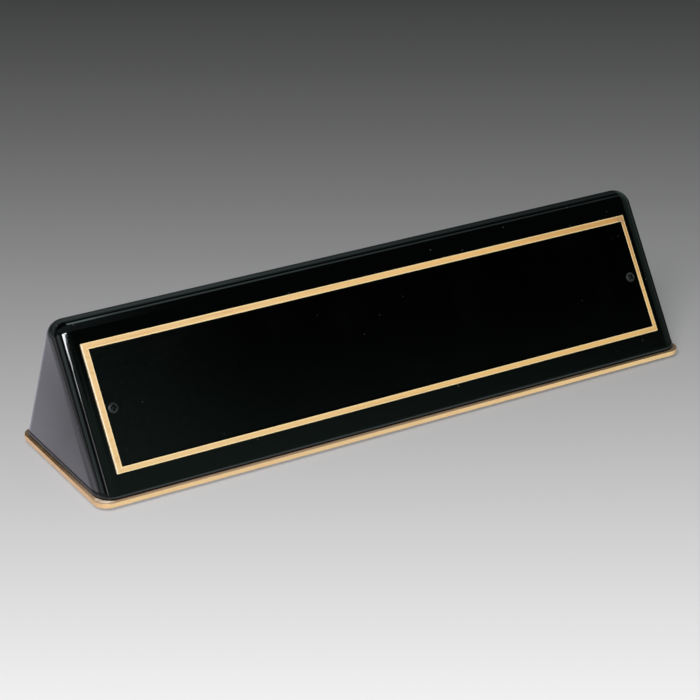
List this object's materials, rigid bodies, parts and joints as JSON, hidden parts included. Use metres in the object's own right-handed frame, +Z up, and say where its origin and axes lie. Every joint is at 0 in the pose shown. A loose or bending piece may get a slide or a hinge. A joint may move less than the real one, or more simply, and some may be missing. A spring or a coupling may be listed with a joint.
{
  "type": "desk name plate",
  "caption": "Free-standing desk name plate: a glossy black wedge on a thin brass base, with a blank bordered plate screwed to its sloping front.",
  "frame": {"origin": "on the desk, under the middle of the base plate", "axes": "+X along the length, +Z up, the sloping front faces -Y"},
  "size_m": [0.2666, 0.0714, 0.0607],
  "materials": {
    "lacquer": "black piano lacquer, high gloss",
    "base_brass": "polished top, brushed rim",
    "plate_brass": "fine brushed along its length",
    "enamel": "gloss black",
    "black_screw": "black oxide, semi-matt",
    "steel_screw": "zinc plated",
    "foot_rubber": "matt"
  },
  "bodies": {
    "root": {"wedge_block": "lacquer", "base_plate": "base_brass", "name_plate": "plate_brass", "plate_enamel": "enamel", "plate_screw_left": "black_screw", "plate_screw_right": "black_screw", "base_screw_left": "steel_screw", "base_screw_right": "steel_screw", "foot_front_left": "foot_rubber", "foot_front_right": "foot_rubber", "foot_back_left": "foot_rubber", "foot_back_right": "foot_rubber"}
  },
  "joints": []
}
